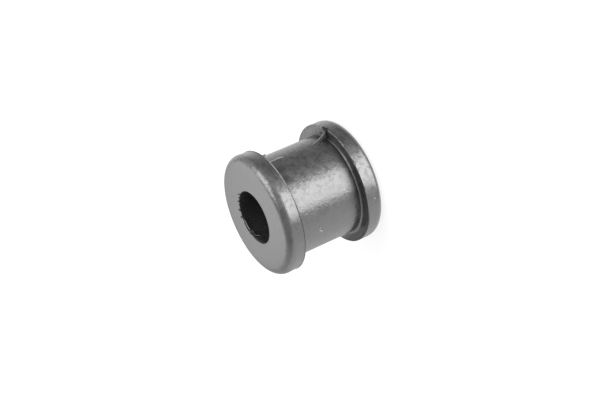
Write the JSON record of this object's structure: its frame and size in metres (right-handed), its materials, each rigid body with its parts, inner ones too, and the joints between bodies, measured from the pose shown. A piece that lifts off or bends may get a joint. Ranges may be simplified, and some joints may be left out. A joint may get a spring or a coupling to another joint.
{
  "type": "stabilizer bar bushing",
  "caption": "Spool-shaped moulded rubber bushing with a through bore and a flange at each end, seating a stabilizer bar in its bracket.",
  "frame": {"origin": "centre of the far flange's end face, on which the bushing stands", "axes": "+Z along the bore axis, from the far flange to the near flange that faces the camera; the parting line lies 34.5 degrees from +X towards -Y"},
  "size_m": [0.037, 0.037, 0.033],
  "materials": {
    "rubber": "moulded black rubber with a soft satin gloss, flat end faces smooth, bore matt"
  },
  "bodies": {
    "root": {"bushing": "rubber"}
  },
  "joints": []
}
